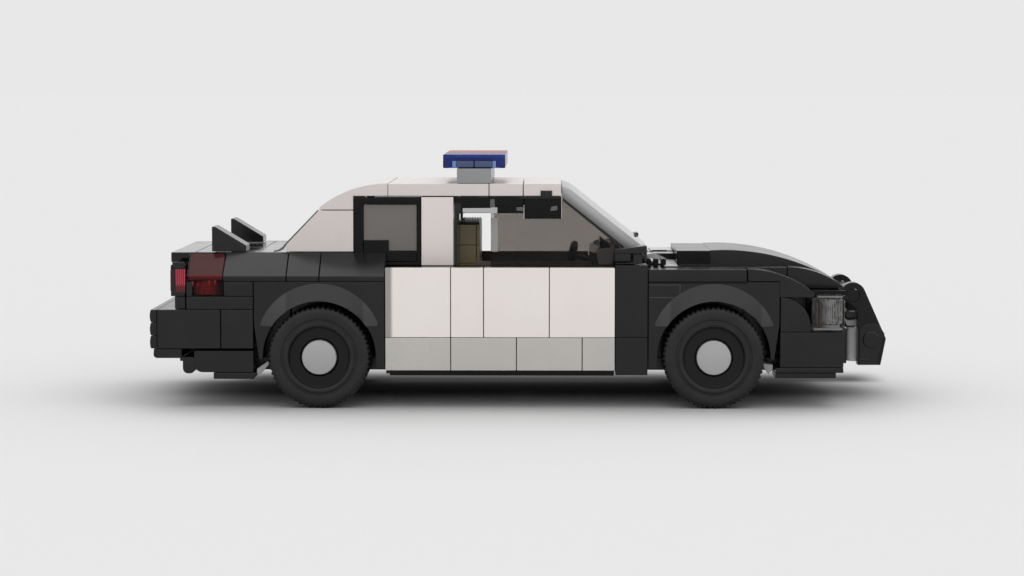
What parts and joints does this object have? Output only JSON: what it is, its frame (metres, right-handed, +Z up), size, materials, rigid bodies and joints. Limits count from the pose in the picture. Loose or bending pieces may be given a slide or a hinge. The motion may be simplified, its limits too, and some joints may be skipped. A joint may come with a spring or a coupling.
{
  "type": "brick-built toy patrol car",
  "caption": "Brick-built toy patrol car in black and white: low saloon body with a light bar, a push bar, boot fins and free-turning wheels.",
  "frame": {"origin": "on the floor under the middle of the overall length and width", "axes": "+X towards the nose, +Y to the car's left, +Z up"},
  "size_m": [0.181, 0.0666, 0.0615],
  "materials": {
    "body_black": "glossy moulded black",
    "clear_blue": "clear blue plastic",
    "clear_lamp": "clear plastic",
    "clear_red": "clear dark red plastic",
    "glass_smoke": "clear smoke-brown plastic",
    "lens_red": "clear red plastic",
    "panel_white": "glossy moulded white",
    "rim_black": "moulded black",
    "seat_tan": "glossy moulded olive tan",
    "trim_grey": "glossy moulded light grey",
    "tyre": "soft matt rubber"
  },
  "bodies": {
    "car_body": {"arch_flares": "body_black", "axle_beams": "body_black", "b_pillars": "panel_white", "body_cores": "body_black", "boot_deck": "body_black", "boot_fins": "body_black", "c_pillars": "panel_white", "chassis_plates": "body_black", "dashboard": "body_black", "door_columns": "body_black", "door_inner_walls": "body_black", "door_panels_lower": "panel_white", "door_panels_upper": "panel_white", "fender_tops": "body_black", "front_bumper": "body_black", "front_fenders": "body_black", "front_seat": "seat_tan", "front_side_windows": "glass_smoke", "grille": "body_black", "headlamps": "clear_lamp", "hood_centre": "body_black", "hood_sides": "body_black", "light_bar_blue": "clear_blue", "light_bar_red": "lens_red", "light_bar_support": "trim_grey", "mirrors": "body_black", "nose_corners": "body_black", "push_bar": "body_black", "push_bar_clips": "body_black", "push_bar_posts": "trim_grey", "rear_bench": "body_black", "rear_bumper": "body_black", "rear_quarters": "body_black", "rear_side_frames": "body_black", "rear_side_windows": "glass_smoke", "rear_underplates": "body_black", "rear_window": "glass_smoke", "roof_beams": "body_black", "roof_panels": "panel_white", "roof_rear_curve": "panel_white", "shoulder_slopes": "body_black", "steering_wheel": "body_black", "tail_lamp_blocks": "clear_red", "tail_lenses": "lens_red", "tail_panel": "body_black", "window_sills": "body_black", "windscreen": "glass_smoke", "windscreen_rails": "glass_smoke"},
    "wheel_rear_right": {"tyre_rear_right": "tyre", "rim_rear_right": "rim_black", "hub_cap_rear_right": "trim_grey"},
    "wheel_rear_left": {"tyre_rear_left": "tyre", "rim_rear_left": "rim_black", "hub_cap_rear_left": "trim_grey"},
    "wheel_front_right": {"tyre_front_right": "tyre", "rim_front_right": "rim_black", "hub_cap_front_right": "trim_grey"},
    "wheel_front_left": {"tyre_front_left": "tyre", "rim_front_left": "rim_black", "hub_cap_front_left": "trim_grey"}
  },
  "joints": [
    {"name": "rear_right_wheel_spin", "type": "hinge", "parent": "car_body", "child": "wheel_rear_right", "pos_m": [-0.04925, -0.027, 0.0124], "axis": [0, 1, 0], "continuous": true},
    {"name": "rear_left_wheel_spin", "type": "hinge", "parent": "car_body", "child": "wheel_rear_left", "pos_m": [-0.04925, 0.027, 0.0124], "axis": [0, 1, 0], "continuous": true},
    {"name": "front_right_wheel_spin", "type": "hinge", "parent": "car_body", "child": "wheel_front_right", "pos_m": [0.04675, -0.027, 0.0124], "axis": [0, 1, 0], "continuous": true},
    {"name": "front_left_wheel_spin", "type": "hinge", "parent": "car_body", "child": "wheel_front_left", "pos_m": [0.04675, 0.027, 0.0124], "axis": [0, 1, 0], "continuous": true}
  ]
}
